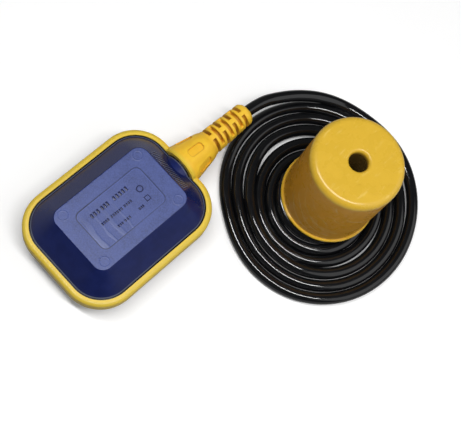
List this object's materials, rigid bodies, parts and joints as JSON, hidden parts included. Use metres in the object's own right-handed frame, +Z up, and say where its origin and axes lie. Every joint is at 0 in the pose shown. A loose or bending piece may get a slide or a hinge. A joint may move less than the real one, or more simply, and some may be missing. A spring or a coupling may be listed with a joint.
{
  "type": "float level switch",
  "caption": "Tilting float level switch with a sealed float, moulded strain relief, coiled cable and sliding counterweight.",
  "frame": {"origin": "centre of the float's flat underside, on the surface the switch lies on", "axes": "+X along the float towards its cable, +Y across the float, +Z up out of its upper raised face"},
  "size_m": [0.2342, 0.1821, 0.0786],
  "materials": {
    "float_blue": "gloss, fine-textured face",
    "rim_yellow": "satin",
    "weight_yellow": "satin",
    "cable_black": "smooth, slightly glossy",
    "carrier_white": "matte",
    "switch_black": "matte",
    "button_red": "matte",
    "steel": "satin",
    "ball_steel": "polished",
    "brass": "satin",
    "silver": "satin",
    "core_brown": "satin",
    "core_blue": "satin",
    "core_black": "satin",
    "copper": "bright",
    "iron": "as cast",
    "ring_grey": "matte"
  },
  "bodies": {
    "float_body": {"upper_float_shell": "float_blue", "lower_float_shell": "float_blue", "sealing_rim": "rim_yellow", "switch_carrier": "carrier_white", "carrier_lid": "carrier_white", "carrier_screws": "steel", "microswitch_case": "switch_black", "microswitch_cover": "switch_black", "microswitch_screws": "steel", "lever_pin": "steel", "fixed_contacts": "silver", "common_terminal": "brass", "normally_open_terminal": "brass", "normally_closed_terminal": "brass", "tab_connectors": "brass", "brown_core": "core_brown", "blue_core": "core_blue", "black_core": "core_black", "cable_sheath_end": "cable_black", "cable_lead": "cable_black", "cable_coil": "cable_black", "brown_tail": "core_brown", "blue_tail": "core_blue", "black_tail": "core_black", "copper_ends": "copper", "counterweight_shell": "weight_yellow", "counterweight_base": "weight_yellow", "counterweight_ballast": "iron", "cable_lock_ring": "ring_grey"},
    "ball": {"steel_ball": "ball_steel"},
    "lever": {"switch_lever": "steel"},
    "plunger": {"switch_plunger": "button_red"},
    "blade": {"contact_blade": "brass", "moving_contact": "silver"}
  },
  "joints": [
    {"name": "ball_roll", "type": "slide", "parent": "float_body", "child": "ball", "axis": [1, 0, 0], "range_m": [0, 0.018]},
    {"name": "lever_swing", "type": "hinge", "parent": "float_body", "child": "lever", "pos_m": [0.0034, 0.0125, 0.02075], "axis": [0, 0, 1], "range_deg": [0, 3.7]},
    {"name": "plunger_press", "type": "slide", "parent": "float_body", "child": "plunger", "axis": [1, 0, 0], "range_m": [0, 0.001]},
    {"name": "blade_swing", "type": "hinge", "parent": "float_body", "child": "blade", "pos_m": [0.00835, 0.0095, 0.02075], "axis": [0, 0, 1], "range_deg": [0, 4.58]}
  ],
  "couplings": [
    {"joint": "lever_swing", "follows": "ball_roll", "rad_per_m": 3.5842},
    {"joint": "plunger_press", "follows": "ball_roll", "ratio": 0.055556},
    {"joint": "blade_swing", "follows": "ball_roll", "rad_per_m": 4.4444}
  ]
}
